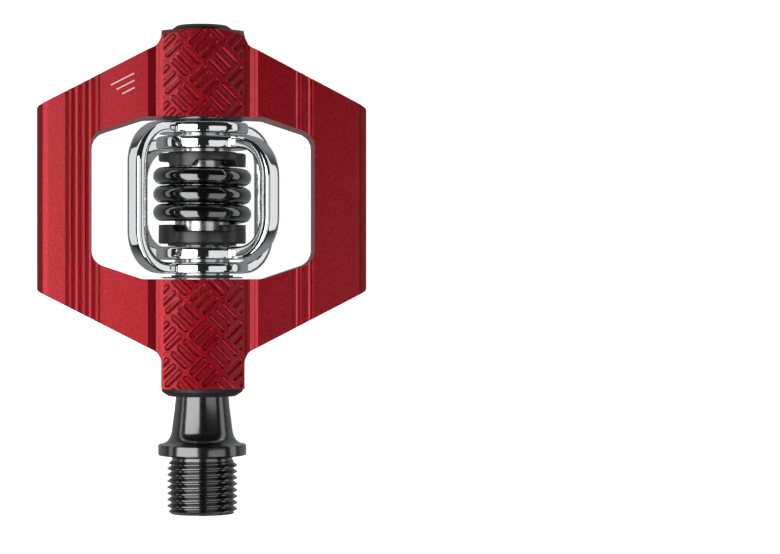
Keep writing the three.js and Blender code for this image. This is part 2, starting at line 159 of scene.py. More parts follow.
# Cutting tools reach this far above and below the spindle's axis, and this far along it.
TOOL_REACH, PAST_ENDS = 20, 100


def piece(name, points, faces):
    """A new mesh object from points in millimetres."""
    mesh = bpy.data.meshes.new(name)
    mesh.from_pydata([[c * MM for c in p] for p in points], [], faces)
    mesh.validate()
    made = bpy.data.objects.new(name, mesh)
    bpy.context.collection.objects.link(made)
    return made


def prism(name, outline, start, end, place):
    """A closed prism on an outline of (a, b) points; place turns (a, b, c) into a point."""
    count = len(outline)
    points = [place(a, b, start) for a, b in outline] + [place(a, b, end) for a, b in outline]
    sides = [(i, (i + 1) % count, count + (i + 1) % count, count + i) for i in range(count)]
    made = piece(name, points, [tuple(reversed(range(count))), tuple(range(count, 2 * count)), *sides])
    outward(made)
    return made


def outward(made):
    """Turns every face of a closed mesh outwards."""
    mesh = bmesh.new()
    mesh.from_mesh(made.data)
    bmesh.ops.recalc_face_normals(mesh, faces=mesh.faces)
    mesh.to_mesh(made.data)
    mesh.free()


def along_y(a, b, c):
    """Lays an outline of (x, z) points across the spindle's axis."""
    return (a, c, b)


def along_z(a, b, c):
    """Lays an outline of (x, y) points flat on the platform."""
    return (a, b, c)


def turned(name, profile, steps=96, closed=False):
    """A profile of (radius, y) points turned about the spindle axis; closed for a ring."""
    points = []
    rows = []
    for radius, y in profile:
        if radius < 1e-6:
            rows.append([len(points)] * steps)
            points.append((0, y, 0))
            continue
        rows.append(list(range(len(points), len(points) + steps)))
        for i in range(steps):
            angle = 2 * math.pi * i / steps
            points.append((radius * math.sin(angle), y, radius * math.cos(angle)))
    pairs = list(zip(rows, rows[1:])) + ([(rows[-1], rows[0])] if closed else [])
    faces = []
    for lower, upper in pairs:
        for i in range(steps):
            j = (i + 1) % steps
            corners = [lower[i], lower[j], upper[j], upper[i]]
            face = list(dict.fromkeys(corners))
            if len(face) > 2:
                faces.append(face)
    made = piece(name, points, faces)
    outward(made)
    return made


def settle(made):
    """Applies every modifier of a piece to its mesh."""
    made.update_tag()
    bpy.context.view_layer.update()
    evaluated = made.evaluated_get(bpy.context.evaluated_depsgraph_get())
    mesh = bpy.data.meshes.new_from_object(evaluated)
    made.modifiers.clear()
    made.data = mesh


def combine(made, tool, operation):
    """Joins, cuts or keeps in common two closed meshes, and uses the tool up."""
    step = made.modifiers.new("combine", "BOOLEAN")
    step.operation = operation
    step.solver = "MANIFOLD"
    step.object = tool
    settle(made)
    bpy.data.objects.remove(tool)
    return made


def merged(name, tools):
    """Several separate closed meshes as one object."""
    points, faces = [], []
    for tool in tools:
        start = len(points)
        points.extend([c / MM for c in v.co] for v in tool.data.vertices)
        faces.extend([start + i for i in face.vertices] for face in tool.data.polygons)
        bpy.data.objects.remove(tool)
    return piece(name, points, faces)


def eased(made, width, angle, segments=3):
    """Rounds every edge sharper than an angle in degrees."""
    step = made.modifiers.new("eased", "BEVEL")
    step.width = width * MM
    step.segments = segments
    step.limit_method = "ANGLE"
    step.angle_limit = math.radians(angle)
    settle(made)
    return made


def smooth(made, angle):
    """Smooth shading that keeps edges sharper than an angle in degrees."""
    for face in made.data.polygons:
        face.use_smooth = True
    limit = math.cos(math.radians(angle))
    faces_at = {}
    for face in made.data.polygons:
        for key in face.edge_keys:
            faces_at.setdefault(key, []).append(face.normal)
    for edge in made.data.edges:
        sides = faces_at.get(edge.key, [])
        edge.use_edge_sharp = len(sides) != 2 or sides[0].dot(sides[1]) < limit
    return made


def rounded(corners, steps=8):
    """An outline through (x, y, radius) corners, each turned on an arc."""
    outline = []
    count = len(corners)
    for i, (x, y, radius) in enumerate(corners):
        corner = Vector((x, y))
        before = (Vector(corners[i - 1][:2]) - corner).normalized()
        after = (Vector(corners[(i + 1) % count][:2]) - corner).normalized()
        half = before.angle(after) / 2
        nearly_straight = half > math.radians(89.5)
        if radius <= 0 or nearly_straight:
            outline.append((x, y))
            continue
        middle = corner + (before + after).normalized() * radius / math.sin(half)
        start = corner + before * radius / math.tan(half) - middle
        swing = math.pi - 2 * half
        turn = math.copysign(1, before.cross(after)) * -1
        for step in range(steps + 1):
            angle = turn * swing * step / steps
            c, s = math.cos(angle), math.sin(angle)
            outline.append((middle.x + start.x * c - start.y * s, middle.y + start.x * s + start.y * c))
    return outline


def fourfold(quarter, middle):
    """Mirrors an upper-right run of corners to the other three quarters, clockwise."""
    lower = [(x, 2 * middle - y, r) for x, y, r in reversed(quarter)]
    right = [*quarter, *lower]
    left = [(-x, y, r) for x, y, r in reversed(right)]
    return [*right, *left]


def flat_z(x):
    """Height of the platform's upper face at a distance from the spindle."""
    share = (abs(x) - FLAT_INNER_X) / (FLAT_OUTER_X - FLAT_INNER_X)
    return FLAT_INNER_Z + (FLAT_OUTER_Z - FLAT_INNER_Z) * share


def crown_z(x):
    """Height of the barrel's slightly crowned top."""
    return BARREL_HALF_HEIGHT - CROWN_DROP * (x / CROWN_EDGE_X) ** 2


def body_blank():
    """The forging without flutes and slots; its lower face is the upper one turned half round."""
    crown = [(x, crown_z(x)) for x in (0, 2.6, 5.2, CROWN_EDGE_X)]
    shoulder = [(8.3, 8.62), (8.93, 8.22), (8.98, 6.95)]
    valley_and_flat = [(9.45, 6.8), (FLAT_INNER_X, FLAT_INNER_Z), (FLAT_OUTER_X, FLAT_OUTER_Z)]
    rim = [(31.35, 5.67), (31.8, 5.5), (32.2, 5.22), (HALF_WIDTH, 3.4)]
    right = [*crown, *shoulder, *valley_and_flat, *rim]
    upper = [(-x, z) for x, z in reversed(right)] + right[1:]
    section = upper + [(-x, -z) for x, z in upper]
    blank = prism("pedal_body_finish", section, BODY_LOW, BODY_HIGH, along_y)
    past_neck = 95
    quarter = [
        (BARREL_HALF_WIDTH, past_neck, 0), (BARREL_HALF_WIDTH, NECK_HIGH, 3.1), (HALF_WIDTH, SIDE_HIGH, 0.8),
    ]
    plan = rounded(fourfold(quarter, (SIDE_LOW + SIDE_HIGH) / 2))
    combine(blank, prism("plan", plan, -TOOL_REACH, TOOL_REACH, along_z), "INTERSECT")
    window_quarter = [(12.2, WINDOW_HIGH, 4), (WINDOW_HALF_WIDTH, 65.2, 3.4)]
    window = rounded(fourfold(window_quarter, (WINDOW_LOW + WINDOW_HIGH) / 2))
    combine(blank, prism("window", window, -TOOL_REACH, TOOL_REACH, along_z), "DIFFERENCE")
    past_sides, inboard_chamfer, outboard_chamfer = 60, 1.0, 2.6
    ends = [
        (0, BODY_LOW), (11.9, BODY_LOW),
        (14, BODY_LOW + inboard_chamfer), (past_sides, BODY_LOW + inboard_chamfer),
        (past_sides, BODY_HIGH - outboard_chamfer), (14, BODY_HIGH - outboard_chamfer),
        (9.4, BODY_HIGH), (0, BODY_HIGH),
    ]
    combine(blank, turned("ends", ends, 160), "INTERSECT")
    return eased(blank, 0.2, 28)


def for_both_faces(cutter):
    """A cutter of the upper face, and its twin turned half round the spindle for the lower one."""
    twin = bpy.data.objects.new(cutter.name, cutter.data.copy())
    twin.data.transform(Matrix.Diagonal((-1, 1, -1, 1)))
    return [cutter, twin]


def flute(start, end, depth, slit):
    """The section of a round groove, with a saw-cut slit and a broken lip beyond its right edge."""
    left_lip, clearance, arc_steps = 0.14, 3, 8
    outline = [(start - left_lip, flat_z(start) + 0.03)]
    if end > start:
        half = (end - start) / 2
        radius = (half ** 2 + depth ** 2) / (2 * depth)
        swing = math.asin(min(1.0, half / radius))
        for step in range(-arc_steps, arc_steps + 1):
            angle = swing * step / arc_steps
            drop = radius * math.cos(angle) - radius + depth
            outline.append((start + half + radius * math.sin(angle), flat_z(start + half) - drop))
    if slit:
        face = flat_z(end)
        outline += [(end + 0.02, face - 0.10), (end + 0.03, face - slit), (end + 0.30, face - slit)]
        outline += [(end + 0.31, face - 0.34), (end + 0.72, face + 0.02)]
    last_x, last_z = outline[-1]
    return [*outline, (last_x, last_z + clearance), (start - left_lip, last_z + clearance)]


def cut_flutes(made):
    """Three grooves and an outer slit on the left, two grooves on the right, a line in its valley."""
    slit = 0.85
    grooves = (
        (-27.49, -27.49, 0.0, slit), (-26.5, -24.86, 0.50, slit), (-23.72, -22.2, 0.48, slit),
        (-21.0, -20.2, 0.36, 0.0), (18.1, 19.3, 0.42, slit), (20.5, 21.85, 0.42, slit),
    )
    valley_line = [(10.32, 7.50), (10.42, 7.30), (10.52, 7.62), (10.52, 9.0), (10.32, 9.0)]
    for section in [flute(*groove) for groove in grooves] + [valley_line]:
        cutter = prism("flute", section, 0, PAST_ENDS, along_y)
        combine(made, merged("flutes", for_both_faces(cutter)), "DIFFERENCE")


def grip_slots():
    """Round-ended slots in threes, woven like a basket, over both barrels."""
    cell, pitch, first_x, first_y = 5.2, 1.75, 0.2, 24.6
    weave, field_half_width, widest_middle, window_overlap = range(-20, 24), 7.95, 9.8, 2
    slant = math.sqrt(0.5)
    cutters = []
    for row in weave:
        for column in weave:
            centre_x = first_x + (column - row) * cell * slant
            centre_y = first_y + (column + row) * cell * slant
            along = Vector((-slant if (row + column) % 2 else slant, slant))
            across = Vector((-along.y, along.x))
            for line in (-1, 0, 1):
                middle = Vector((centre_x, centre_y)) + across * pitch * line
                inboard = 12 < middle.y < WINDOW_LOW + window_overlap
                outboard = WINDOW_HIGH - window_overlap < middle.y < 87
                if abs(middle.x) < widest_middle and (inboard or outboard):
                    cutters.extend(for_both_faces(slot_cutter(middle, along, across)))
    slots = merged("grip_slots", cutters)
    corners = ((1, 0), (1, 1), (-1, 1), (-1, 0))
    field = [(side * field_half_width, end * PAST_ENDS) for side, end in corners]
    return combine(slots, prism("slot_field", field, -TOOL_REACH, TOOL_REACH, along_z), "INTERSECT")


def slot_cutter(middle, along, across):
    """One slot, with a round bottom edge and drafted walls that are steeper on one side."""
    length, width, depth = 4.5, 1.12, 0.62
    # Each level's depth below the crown, its share of the width and its shift to the steeper side.
    levels = ((depth, 0.42, 0.16), (depth - 0.10, 0.62, 0.13), (0.0, 1.12, 0.0), (-1.0, 1.12, 0.0))
    steeper_side = Vector((-1, 0.35))
    steps = 7
    count = 2 * (steps + 1)
    points = []
    for sunk, share, shift in levels:
        radius = width / 2 * share
        for end in (1, -1):
            for step in range(steps + 1):
                angle = -math.pi / 2 + math.pi * step / steps
                a = end * ((length - width) / 2 + radius * math.cos(angle))
                b = end * radius * math.sin(angle)
                point = middle + along * a + across * b + steeper_side * shift
                points.append((point.x, point.y, crown_z(point.x) - sunk))
    top = len(levels) - 1
    faces = [tuple(range(count)), tuple(range(top * count, len(levels) * count))]
    for level in range(top):
        for i in range(count):
            j = (i + 1) % count
            lower, upper = level * count, (level + 1) * count
            faces.append((lower + i, lower + j, upper + j, upper + i))
    cutter = piece("slot", points, faces)
    outward(cutter)
    return cutter


def flattened(made):
    """Lets the large faces of a milled piece set the shading, up to their eased edges."""
    step = made.modifiers.new("flattened", "WEIGHTED_NORMAL")
    step.keep_sharp = True
    step.weight = 100
    settle(made)
    return made


class Value:
    """One value on a surface. Arithmetic on it adds the Math nodes."""

    def __init__(self, surface, socket):
        self.surface, self.socket = surface, socket

    def _math(self, operation, *terms):
        return self.surface.node("ShaderNodeMath", {"operation": operation}, dict(enumerate(terms)))

    def __add__(self, other):
        return self._math("ADD", self, other)

    def __sub__(self, other):
        return self._math("SUBTRACT", self, other)

    def __rsub__(self, other):
        return self._math("SUBTRACT", other, self)

    def __mul__(self, other):
        return self._math("MULTIPLY", self, other)

    def __lt__(self, other):
        return self._math("LESS_THAN", self, other)

    def __gt__(self, other):
        return self._math("GREATER_THAN", self, other)

    def __abs__(self):
        return self._math("ABSOLUTE", self)

    __radd__, __rmul__ = __add__, __mul__


SOCKET_NAMES = {
    "coat_weight": "Coat Weight", "coat_roughness": "Coat Roughness", "coat_ior": "Coat IOR",
    "specular_ior_level": "Specular IOR Level",
}


class Surface:
    """A finish: one Principled shader, set to plain values first, and the nodes that vary them."""

    def __init__(self, name, colour, roughness, metallic, **constants):
        self.material = bpy.data.materials.new(name)
        self.material.use_nodes = True
        self.tree = self.material.node_tree
        self.shader = self.tree.nodes["Principled BSDF"]
        self.feed("Base Color", (*colour, 1))
        self.feed("Roughness", roughness)
        self.feed("Metallic", metallic)
        for socket, value in constants.items():
            self.feed(SOCKET_NAMES[socket], value)

    def feed(self, socket, value):
        """Sets or links one socket of the shader."""
        self._connect(self.shader.inputs[socket], value)

    def _connect(self, socket, value):
        if isinstance(value, Value):
            self.tree.links.new(value.socket, socket)
        else:
            socket.default_value = value

    def node(self, kind, settings, sockets, out=0):
        """Any node: its type, its settings, then the values or links of its sockets."""
        made = self.tree.nodes.new(kind)
        for name, value in settings.items():
            setattr(made, name, value)
        for name, value in sockets.items():
            self._connect(made.inputs[name], value)
        return Value(self, made.outputs[out])

    def place(self):
        """The point on the surface in metres, which moves with the piece."""
        return self.node("ShaderNodeTexCoord", {}, {}, "Object")

    def axis(self, name):
        """One of the point's three distances in millimetres."""
        return self.node("ShaderNodeSeparateXYZ", {}, {"Vector": self.place()}, name) * (1 / MM)

    def noise(self, size, detail=3.0, roughness=0.5, stretch=(1, 1, 1)):
        """Noise with features of a size in millimetres, from 0 to 1."""
        scaled = self.node("ShaderNodeMapping", {}, {"Vector": self.place(), "Scale": stretch})
        settings = {"noise_dimensions": "3D"}
        sockets = {"Vector": scaled, "Scale": 1 / (size * MM), "Detail": detail, "Roughness": roughness}
        return self.node("ShaderNodeTexNoise", settings, sockets)

    def blend(self, share, one, other):
        """A colour part of the way from one to the other."""
        first_colour, second_colour, mixed_colour = 6, 7, 2
        sockets = {"Factor": share, first_colour: one, second_colour: other}
        return self.node("ShaderNodeMix", {"data_type": "RGBA"}, sockets, mixed_colour)

    def bump(self, height, strength, depth):
        """Feeds the Normal with a relief of a depth in millimetres."""
        sockets = {"Height": height, "Strength": strength, "Distance": depth * MM}
        self.feed("Normal", self.node("ShaderNodeBump", {}, sockets))


def dress(made, surface, slot, body, *nodes):
    """Gives a piece its finish, the body that it rides on and the nodes that it stands for."""
    made.data.materials.clear()
    made.data.materials.append(surface.material)
    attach(made, body)
    if nodes:
        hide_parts(*nodes)
    return made


def etched_strokes(surface):
    """Three plain parallel strokes, etched on the upper left arm."""
    lean, middle_along, middle_across = math.radians(27), 20.2, 73.9
    spacing, half_width, above = 1.3, 0.11, 4.0
    x, y = surface.axis("X"), surface.axis("Y")
    along = x * math.cos(lean) + y * math.sin(lean) - middle_along
    across = y * math.cos(lean) - x * math.sin(lean) - middle_across
    lines = 0
    for offset, half_length in ((spacing, 2.6), (0.0, 2.0), (-spacing, 1.4)):
        lines = (abs(across - offset) < half_width) * (abs(along) < half_length) + lines
    return lines * (surface.axis("Z") > above)


def red_anodised():
    """Bead-blasted red: a satin, finely speckled colour under a clear seal."""
    dark_speck, bright_speck = (0.19, 0.0001, 0.003, 1), (0.58, 0.0010, 0.016, 1)
    clouded, etched = (0.37, 0.0005, 0.008, 1), (0.78, 0.60, 0.60, 1)
    seal = {"coat_weight": 0.4, "coat_roughness": 0.22}
    red = Surface("red_anodised", (0.42, 0.002, 0.010), roughness=0.36, metallic=0.9, **seal)
    grain = (red.noise(0.34, detail=2.0, roughness=0.7) - 0.5) * 2.6 + 0.5
    cloud = red.noise(9.0, detail=2.0)
    forged = red.noise(1.7, detail=2.0)
    speckled = red.blend(grain, dark_speck, bright_speck)
    shaded = red.blend(cloud * 0.25, speckled, clouded)
    strokes = etched_strokes(red)
    red.feed("Base Color", red.blend(strokes, shaded, etched))
    red.feed("Metallic", 0.9 - strokes * 0.5)
    red.feed("Roughness", grain * 0.10 + cloud * 0.06 + 0.38)
    red.bump(grain * 0.6 + forged, strength=0.65, depth=0.04)
    return red


red = red_anodised()
body = body_blank()
cut_flutes(body)
combine(body, grip_slots(), "DIFFERENCE")
bore = turned("bore", [
    (0, 0), (BUSH_BORE, 0), (BUSH_BORE, BUSH_SHOULDER), (SLEEVE_BORE, BUSH_SHOULDER),
    (SLEEVE_BORE, BEARING_SHOULDER), (BEARING_BORE, BEARING_SHOULDER),
    (BEARING_BORE, PAST_ENDS), (0, PAST_ENDS),
])
combine(body, bore, "DIFFERENCE")
flattened(smooth(body, 17))
# The chrome mirrors the studio only, not the red beside it.
body.visible_glossy = False
dress(body, red, "red_anodised", "pedal", "pedal_body")


# ---------------------------------------------------------------- spindle
# Forged and turned steel, coated satin black: a right-hand thread for the crank, a flange, a cone
# and the journal that runs into the inboard barrel. A hex socket in its tip takes the key.
THREAD_R, THREAD_ROOT_R, THREAD_PITCH = 7.145, 6.33, 1.27
THREAD_TIP, THREAD_END = -11.9, -1.0
KEY_ACROSS, KEY_DEPTH = 8.0, 9


def thread(low_y, high_y):
    """A helical ridge with flat crests, closed at both ends by fans to the axis.

    A row of points follows each corner of the ridge's section; the last row meets the first one
    a turn later.
    """
    steps = 72
    turns = math.ceil((high_y - low_y) / THREAD_PITCH)
    length = steps * turns + 1
    ridge = ((THREAD_R, 0.0), (THREAD_R, 0.14), (THREAD_ROOT_R, 0.60), (THREAD_ROOT_R, 0.70))
    points = []
    for radius, lift in ridge:
        for i in range(length):
            angle = 2 * math.pi * i / steps
            y = low_y + (lift + i / steps) * THREAD_PITCH
            points.append((radius * math.sin(angle), y, radius * math.cos(angle)))
    faces = []
    last = length - 1
    for row in range(3):
        for i in range(last):
            a, b = row * length + i, (row + 1) * length + i
            faces.append((a, a + 1, b + 1, b))
    for i in range(last - steps):
        a, b = 3 * length + i, i + steps
        faces.append((a, a + 1, b + 1, b))
    low_centre, high_centre = len(points), len(points) + 1
    points += [(0, low_y - 1, 0), (0, high_y + 3, 0)]
    faces += [(low_centre, i, i + 1) for i in range(steps)]
    top = 3 * length + last - steps
    faces += [(high_centre, top + i, top + i + 1) for i in range(steps)]
    start_ring = [0, length, 2 * length, 3 * length, steps]
    faces += [(low_centre, a, b) for a, b in zip(start_ring, start_ring[1:])]
    end_ring = [top, last, length + last, 2 * length + last, 3 * length + last]
    faces += [(high_centre, a, b) for a, b in zip(end_ring, end_ring[1:])]
    made = piece("thread", points, faces)
    outward(made)
    return made


def hexagon(across):
    """The corners of a hexagon by its width across flats."""
    radius = across / math.sqrt(3)
    angles = [math.radians(60 * i) for i in range(6)]
    return [(radius * math.cos(angle), radius * math.sin(angle)) for angle in angles]


def spindle():
    """The thread trimmed to its chamfered length, the turned shank, and the key socket."""
    made = thread(THREAD_TIP - 2, THREAD_END + 1)
    past_crests = THREAD_R + 0.3
    envelope = turned("envelope", [
        (0, THREAD_TIP - 0.25), (5.4, THREAD_TIP - 0.1), (THREAD_R - 0.75, THREAD_TIP),
        (past_crests, THREAD_TIP + 1.05), (past_crests, THREAD_END - 1.0),
        (THREAD_ROOT_R - 0.1, THREAD_END), (0, THREAD_END),
    ])
    combine(made, envelope, "INTERSECT")
    neck = [(0, -2.5), (6.18, -2.5), (6.18, -0.6), (6.25, -0.42), (6.43, -0.25), (6.8, -0.08), (7.25, 0)]
    flange = [(8.7, 0), (8.88, 0.06), (9.0, 0.25), (9.0, 2.0), (8.93, 2.2), (8.75, 2.3), (8.5, 2.34)]
    fillet = [(8.0, 2.45), (7.45, 2.7), (7.0, 3.1), (6.65, 3.6), (6.4, 4.2), (6.25, 4.8)]
    cone = [(5.6, 9.8), (5.42, 11.6)]
    journal = [(5.4, 12.0), (5.4, 25.4), (3.9, 28.0), (3.9, 75.7), (3.6, 76.0), (3.0, 76.0), (3.0, 81.0)]
    nut_end = [(2.9, 81.1), (2.9, 83.95), (2.5, 84.35), (0, 84.35)]
    combine(made, turned("shank", [*neck, *flange, *fillet, *cone, *journal, *nut_end]), "UNION")
    key = prism("key", hexagon(KEY_ACROSS), THREAD_TIP - 3, THREAD_TIP + KEY_DEPTH, along_y)
    combine(made, key, "DIFFERENCE")
    made.name = "spindle_finish"
    return smooth(made, 25)


def coated_black():
    """Glossy black coated steel with faint turning marks."""
    coat = {"specular_ior_level": 1.0, "coat_weight": 1.0, "coat_roughness": 0.12, "coat_ior": 1.8}
    dark, pale = (0.002, 0.002, 0.002, 1), (0.006, 0.006, 0.006, 1)
    round_the_axis = (0.12, 1, 0.12)
    black = Surface("coated_black_steel", (0.004, 0.004, 0.004), roughness=0.2, metallic=0.0, **coat)
    turning = black.noise(0.35, detail=3.0, roughness=0.6, stretch=round_the_axis)
    speck = black.noise(0.2, detail=2.0)
    black.feed("Base Color", black.blend(speck, dark, pale))
    black.feed("Roughness", turning * 0.12 + speck * 0.05 + 0.12)
    black.bump(turning, strength=0.2, depth=0.012)
    return black


dress(spindle(), coated_black(), "black_steel", "axle", "spindle")


# ---------------------------------------------------------------- cage wings
# Each wing is a steel strip bent into a loop and welded to two hub rings that turn on the sleeve,
# then polished and chromed. The two loops cross at the spindle, half a right angle off the platform.
CAGE_MIDDLE = 52.46
CAGE_HALF_WIDTH = 19.9
STRIP_WIDTH, ARM_THICK = 3.75, 2.65
HUB_R, HUB_BORE = 9.4, 5.85


def loop_outline(half_width, half_length, corner):
    """A rectangle with round corners about the loop's middle."""
    signs = ((1, 1), (1, -1), (-1, -1), (-1, 1))
    return rounded([(a * half_width, b * half_length, corner) for a, b in signs], 14)


def melted(made, grain, rounds):
    """Meshes a joined piece finely and eases its inside corners, as grinding and polishing do."""
    fine = made.modifiers.new("fine", "REMESH")
    fine.mode = "VOXEL"
    fine.voxel_size = grain * MM
    ease = made.modifiers.new("ease", "SMOOTH")
    ease.factor = 0.5
    ease.iterations = rounds
    settle(made)
    return made


def wing(name, half_length, bar_thick, tilt):
    """A loop of rounded strip and its two hub rings, blended and polished as one."""
    corner, edge, edge_steps = 8.5, 0.4, 5
    half = STRIP_WIDTH / 2
    inner_y = half_length - bar_thick
    inside = loop_outline(CAGE_HALF_WIDTH - ARM_THICK, inner_y, corner - ARM_THICK)
    made = prism(name, loop_outline(CAGE_HALF_WIDTH, half_length, corner), -half, half, along_z)
    combine(made, prism("inside", inside, -half - 1, half + 1, along_z), "DIFFERENCE")
    eased(made, edge, 40, 4)
    for low_y, high_y in ((-half_length, -inner_y), (inner_y, half_length)):
        hub = [(0, low_y)]
        for centre_y, start in ((low_y + edge, -90), (high_y - edge, 0)):
            for step in range(edge_steps + 1):
                angle = math.radians(start + 90 * step / edge_steps)
                hub.append((HUB_R - edge + edge * math.cos(angle), centre_y + edge * math.sin(angle)))
        hub.append((0, high_y))
        combine(made, turned("hub", hub), "UNION")
    past_hubs = 40
    bore_profile = [(0, -past_hubs), (HUB_BORE, -past_hubs), (HUB_BORE, past_hubs), (0, past_hubs)]
    combine(made, turned("hub_bore", bore_profile), "DIFFERENCE")
    melted(made, grain=0.26, rounds=18)
    upright = Matrix.Translation((0, CAGE_MIDDLE * MM, 0)) @ Matrix.Rotation(math.radians(tilt), 4, "Y")
    made.data.transform(upright)
    return smooth(made, 45)


def polished_chrome():
    """Chromium plate: bright, with the slight waviness of hand polishing."""
    chrome = Surface("polished_chrome", (0.80, 0.81, 0.82), roughness=0.06, metallic=1.0)
    wave = chrome.noise(5.0, detail=2.0)
    scratch = chrome.noise(0.5, detail=3.0, roughness=0.6)
    chrome.feed("Roughness", scratch * 0.05 + 0.035)
    chrome.bump(wave + scratch * 0.05, strength=0.3, depth=0.08)
    return chrome


chrome = polished_chrome()
outer_wing = wing("outer_wing_finish", half_length=15.38, bar_thick=2.33, tilt=45)
dress(outer_wing, chrome, "chromed_steel", "outer_wing", "outer_wing")
inner_wing = wing("inner_wing_finish", half_length=12.53, bar_thick=2.65, tilt=-45)
dress(inner_wing, chrome, "chromed_steel", "inner_wing", "inner_wing")


# ---------------------------------------------------------------- torsion spring
# Three close coils of gloss black coated spring wire. Each lies almost square to the spindle and
# steps over to the next one underneath. The cut ends bear on the lugs of the two seats.
WIRE_R, COIL_R, COIL_PITCH, MIDDLE_COIL = 1.78, 8.25, 3.72, 53.12
END_ANGLE = math.radians(360 + 128)


def smoother(share):
    """An even ramp from 0 to 1 that starts and ends level."""
    share = min(max(share, 0.0), 1.0)
    return share ** 3 * (share * (6 * share - 15) + 10)


def coil_point(angle):
    """The wire's centre at an angle from straight up, towards the right."""
    level_until, step_share, lean = 0.28, 0.22, 0.2
    turn = math.floor(angle / (2 * math.pi) + 0.5)
    along = angle / (2 * math.pi) - turn
    step = math.copysign(smoother((abs(along) - level_until) / step_share) / 2, along)
    drop = turn + (1 - lean) * step + lean * along
    return (COIL_R * math.sin(angle), MIDDLE_COIL - COIL_PITCH * drop, COIL_R * math.cos(angle))


def coiled_wire(name, end_angle):
    """A round wire along the coil, its ends closed by slightly rounded cuts."""
    steps, sides = 260, 28
    cut_length, cut_round, look_ahead = 0.25, 0.3, 1e-3
    points, rows = [], []
    for i in range(-1, steps + 2):
        past_end = (i > steps) - (i < 0)
        share = min(max(i, 0), steps) / steps
        angle = (2 * share - 1) * end_angle
        radius = WIRE_R - cut_round if past_end else WIRE_R
        here, ahead = Vector(coil_point(angle)), Vector(coil_point(angle + look_ahead))
        forward = (ahead - here).normalized()
        here += forward * cut_length * past_end
        outwards = Vector((here.x, 0, here.z)).normalized()
        outwards = (outwards - forward * outwards.dot(forward)).normalized()
        upwards = forward.cross(outwards)
        rows.append(range(len(points), len(points) + sides))
        for j in range(sides):
            turn = 2 * math.pi * j / sides
            points.append(here + outwards * radius * math.cos(turn) + upwards * radius * math.sin(turn))
    faces = [tuple(rows[0]), tuple(reversed(rows[-1]))]
    for lower, upper in zip(rows, rows[1:]):
        for j in range(sides):
            k = (j + 1) % sides
            faces.append((lower[j], lower[k], upper[k], upper[j]))
    made = piece(name, points, faces)
    outward(made)
    return smooth(made, 50)


def gloss_black():
    """Wet-looking black coating over the wire."""
    wet = {"specular_ior_level": 1.0, "coat_weight": 1.0, "coat_roughness": 0.04, "coat_ior": 1.8}
    gloss = Surface("gloss_black_coating", (0.0015, 0.0015, 0.0018), roughness=0.1, metallic=0.0, **wet)
    orange_peel = gloss.noise(1.2, detail=2.0)
    gloss.feed("Roughness", orange_peel * 0.08 + 0.08)
    gloss.bump(orange_peel, strength=0.15, depth=0.03)
    return gloss


wire = coiled_wire("torsion_spring_finish", END_ANGLE)
dress(wire, gloss_black(), "black_spring", "pedal", "torsion_spring")


# ---------------------------------------------------------------- spring seats and washers
# Moulded black plastic. Each seat is a flanged ring with lugs that hold the spring's ends, and a
# thin stepped washer keeps each wing off the body.
SEAT_R, SEAT_BORE, SEAT_BOSS_R, SLEEVE_R = 8.9, 5.75, 7.0, 5.55
BLANK_BORE, LUG_ROOT = 3.0, 0.5


def ring(name, inner, outer, low_y, high_y, ease=0.15):
    """A ring with eased corners."""
    outside = [(outer - ease, low_y), (outer, low_y + ease), (outer, high_y - ease), (outer - ease, high_y)]
    section = [(inner, low_y), *outside, (inner, high_y)]
    return turned(name, section, closed=True)


def lug(start, end, low_y, high_y, slope):
    """A sector of a ring between two angles, spread by a slope in degrees at each height."""
    steps = 18
    points = []
    for y, extra in ((low_y, slope[0]), (high_y, slope[1])):
        for radius in (SLEEVE_R, SEAT_R - 0.02):
            for i in range(steps + 1):
                spread = end - start + 2 * extra
                angle = math.radians(start - extra + spread * i / steps)
                points.append((radius * math.sin(angle), y, radius * math.cos(angle)))
    n = steps + 1
    faces = []
    for i in range(steps):
        faces += [(i, i + 1, n + i + 1, n + i), (2 * n + i, 2 * n + i + 1, 3 * n + i + 1, 3 * n + i)]
        faces += [(i, i + 1, 2 * n + i + 1, 2 * n + i), (n + i, n + i + 1, 3 * n + i + 1, 3 * n + i)]
    faces += [(0, n, 3 * n, 2 * n), (steps, n + steps, 3 * n + steps, 2 * n + steps)]
    made = piece("lug", points, faces)
    outward(made)
    return made


def spring_seat(name, low_y, high_y, boss, lugs):
    """A flange with its boss and its lugs, bored for the sleeve."""
    made = ring(name, BLANK_BORE, SEAT_R, low_y, high_y, 0.2)
    combine(made, ring("boss", BLANK_BORE, SEAT_BOSS_R, *boss, 0.1), "UNION")
    for start, end, reach, taper in lugs:
        if reach > high_y:
            part = lug(start, end, high_y - LUG_ROOT, reach, (taper, 0))
        else:
            part = lug(start, end, reach, low_y + LUG_ROOT, (0, taper))
        combine(made, part, "UNION")
    below_seats, above_seats = 30, 75
    bore_profile = [(0, below_seats), (SEAT_BORE, below_seats), (SEAT_BORE, above_seats), (0, above_seats)]
    combine(made, turned("seat_bore", bore_profile), "DIFFERENCE")
    eased(made, 0.12, 40, 2)
    return smooth(made, 30)


def moulded_black():
    """Black moulded plastic with a fine satin texture."""
    dark, pale = (0.006, 0.006, 0.006, 1), (0.013, 0.013, 0.013, 1)
    plain = (0.012, 0.012, 0.012)
    plastic = Surface("moulded_black", plain, roughness=0.35, metallic=0.0, specular_ior_level=0.8)
    texture = plastic.noise(0.12, detail=2.0)
    tone = plastic.noise(4.0, detail=2.0)
    plastic.feed("Base Color", plastic.blend(tone, dark, pale))
    plastic.feed("Roughness", texture * 0.10 + 0.28)
    plastic.bump(texture, strength=0.3, depth=0.015)
    return plastic


plastic = moulded_black()
